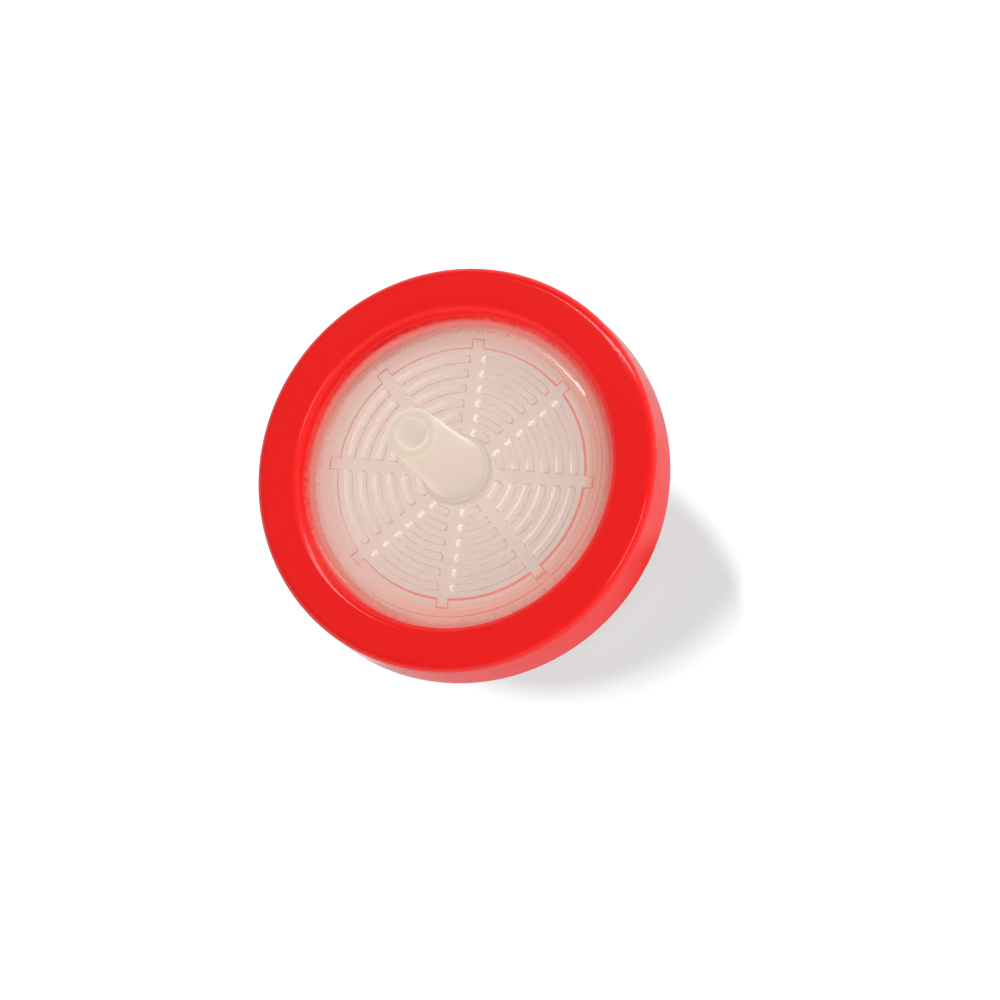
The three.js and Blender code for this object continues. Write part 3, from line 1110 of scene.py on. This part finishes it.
def studio():
    finish = Finish(bpy.data.worlds.new("studio"))
    shown = finish.node("ShaderNodeBackground", {}, {"Color": (1, 1, 1, 1)})
    way_out = finish.node("ShaderNodeTexCoord", {}, {}, "Generated")
    upward = finish.node("ShaderNodeSeparateXYZ", {}, {0: way_out}, "Z")
    gradient = finish.mix(finish.step(upward, *SKY_RISE), HORIZON, SKY)
    sky = finish.node("ShaderNodeBackground", {}, {"Color": gradient})
    return finish.shows(finish.blend(finish.light_path("Is Camera Ray"), sky, shown))


bpy.context.scene.world = studio()
print("world from", HORIZON[0], "at the horizon to", SKY[0], "overhead")

# %% [markdown]
# Sun lamps add direction. Their light has the same strength everywhere, and the angle that a sun
# fills in the sky sets how soft its shadows are. A broad key and two fills shape the part, and
# two narrower suns cast its two shadows on the floor. The key and fills are hidden from glossy
# and transmitted rays, or their discs would show in the window as bright spots.

# %% Sun lamps
def direction(azimuth, tilt):
    """The way to a point in the sky, tilt degrees down from straight above."""
    a, t = math.radians(azimuth), math.radians(tilt)
    return Vector((math.sin(t) * math.cos(a), math.sin(t) * math.sin(a), math.cos(t)))


def sun(name, azimuth, tilt, strength, half_angle):
    """A sun that shines from a direction. Its half angle, in degrees, makes it soft."""
    lamp = bpy.data.lights.new(name, "SUN")
    lamp.energy = strength
    lamp.angle = math.radians(2 * half_angle)
    holder = placed(name, lamp)
    holder.rotation_euler = direction(azimuth, tilt).to_track_quat("Z", "Y").to_euler()
    return holder


part_suns = [
    sun("key", azimuth=165, tilt=40, strength=0.82, half_angle=20),
    sun("right_fill", azimuth=-52, tilt=74, strength=1.6, half_angle=25),
    sun("top_fill", azimuth=44, tilt=74, strength=0.9, half_angle=25),
]
for lamp in part_suns:
    lamp.visible_glossy = False
    lamp.visible_transmission = False
floor_suns = [
    sun("left_floor_key", azimuth=195.3, tilt=26.3, strength=2.63, half_angle=6.5),
    sun("top_floor_key", azimuth=116.6, tilt=53.8, strength=3.99, half_angle=3.3),
]
print(len(part_suns), "suns for the part and", len(floor_suns), "for the floor")

# %% [markdown]
# Two long area lamps draw the highlights that run along the ring's edges, as strip lights do for
# a photographer of glossware. One is cool and one is warm.

# %% Strip lamps
STRIP_DISTANCE = 0.6         # in metres
STRIP_WIDTH = 0.05


def strip(name, start, end, strength, colour):
    """A long lamp for highlights on edges. Each of its ends is a direction (azimuth, tilt)."""
    start, end = (direction(*d) * STRIP_DISTANCE for d in (start, end))
    lamp = bpy.data.lights.new(name, "AREA")
    lamp.shape = "RECTANGLE"
    lamp.size = (end - start).length
    lamp.size_y = STRIP_WIDTH
    lamp.energy = strength * math.pi * STRIP_DISTANCE ** 2
    lamp.color = colour
    holder = placed(name, lamp)
    back = (start + end).normalized()
    across = back.cross(end - start).normalized()
    turn = Matrix((across.cross(back), across, back)).transposed().to_4x4()
    holder.matrix_world = Matrix.Translation((start + end) / 2) @ turn
    holder.visible_transmission = False
    return holder


strips = [
    strip("cool_strip", (124, 24), (52, 67), strength=0.9, colour=(0.9, 0.95, 1.0)),
    strip("warm_strip", (-30, 45), (8, 45), strength=0.45, colour=(1.0, 0.93, 0.85)),
]
print("strips", [round(lamp.data.size, 2) for lamp in strips], "m long")

# %% [markdown]
# Light linking gives each lamp its own receivers, so the suns for the floor leave the part alone
# and the rest leave the floor alone. Clear surfaces lie one behind another here, so Cycles is
# allowed more of them along a ray before it gives up and shows black.

# %% Which lamp lights what
part_only = bpy.data.collections.new("part_only")
part_only.objects.link(floor)
part_only.collection_objects[0].light_linking.link_state = "EXCLUDE"
floor_only = bpy.data.collections.new("floor_only")
floor_only.objects.link(floor)
for lamp in floor_suns:
    lamp.light_linking.receiver_collection = floor_only
for lamp in (*part_suns, *strips):
    lamp.light_linking.receiver_collection = part_only
bpy.context.scene.cycles.transparent_max_bounces = 32

# %% [markdown]
# ## Camera
#
# The filter is looked at from high above, a little off its axis, through a long lens that keeps
# circles nearly round. A camera can be aimed by hand or with a Track To constraint. Here its place
# comes from a direction and a distance, and its roll from the part's own axis, so each number
# says one thing about the view.

# %% Camera
VIEW_AZIMUTH = math.radians(-33.2)
VIEW_ELEVATION = math.radians(68.55)
VIEW_ROLL = math.radians(140.5)
VIEW_DISTANCE = 280.0
LENS = 126.0
PIVOT = Vector((0, 0, 12.96))
AIM_RIGHT = 3.232            # how far the view's middle lies from the pivot
AIM_UP = -2.24


def view_axes(back):
    """The camera's right and up axes, with the part's own axis at the roll angle in the frame."""
    axis = (Vector((0, 0, 1)) - back * back.z).normalized()
    side = back.cross(axis)
    right = axis * math.cos(VIEW_ROLL) - side * math.sin(VIEW_ROLL)
    up = axis * math.sin(VIEW_ROLL) + side * math.cos(VIEW_ROLL)
    return right, up


towards = Vector((math.cos(VIEW_ELEVATION) * math.cos(VIEW_AZIMUTH),
                  math.cos(VIEW_ELEVATION) * math.sin(VIEW_AZIMUTH),
                  math.sin(VIEW_ELEVATION)))
eye = PIVOT + towards * VIEW_DISTANCE
right, up = view_axes(towards)
back = (eye - (PIVOT + right * AIM_RIGHT + up * AIM_UP)).normalized()
right, up = view_axes(back)
lens = bpy.data.cameras.new("camera")
lens.lens = LENS
lens.sensor_width = 36.0
lens.clip_start = 0.01
camera = placed("camera", lens)
camera.matrix_world = Matrix.Translation(eye * MM) @ Matrix((right, up, back)).transposed().to_4x4()
bpy.context.scene.camera = camera
print("camera", round(VIEW_DISTANCE), "mm from the part, lens", LENS, "mm")

# %% [markdown]
# ## Closing
#
# The Standard view transform shows colours as they are written. Others, such as Filmic, would
# dull the red.

# %% View transform
bpy.context.scene.view_settings.view_transform = "Standard"
